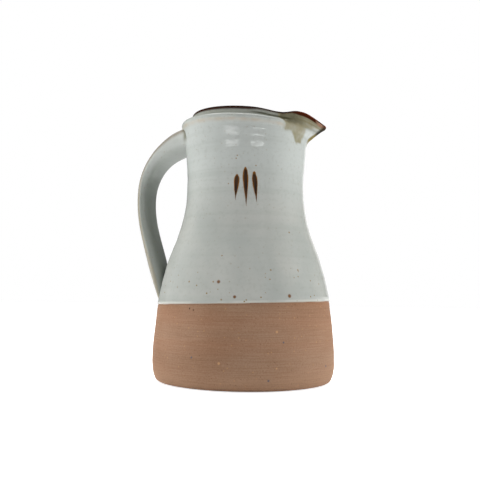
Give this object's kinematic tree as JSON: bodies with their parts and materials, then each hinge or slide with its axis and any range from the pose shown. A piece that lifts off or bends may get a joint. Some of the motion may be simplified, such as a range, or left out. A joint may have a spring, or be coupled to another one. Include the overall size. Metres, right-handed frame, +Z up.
{
  "type": "pitcher",
  "caption": "Hand-thrown stoneware jug with a pulled spout and handle, pale grey-green glaze over a bare clay foot and an iron-brown lip.",
  "frame": {"origin": "centre of the flat base, on the thrown axis", "axes": "+Z up along the thrown axis, +X towards the spout, -X towards the handle"},
  "size_m": [0.1541, 0.137, 0.2024],
  "materials": {
    "bare_stoneware": "matte",
    "slip": "matte",
    "pale_glaze": "gloss",
    "iron_glaze": "gloss"
  },
  "bodies": {
    "root": {"thrown_body": "bare_stoneware", "pulled_handle": "bare_stoneware", "upper_slip_joint": "slip", "lower_slip_joint": "slip", "outer_glaze": "pale_glaze", "handle_glaze": "pale_glaze", "liner_glaze": "pale_glaze", "rim_band": "iron_glaze", "brush_mark": "iron_glaze"}
  },
  "joints": []
}
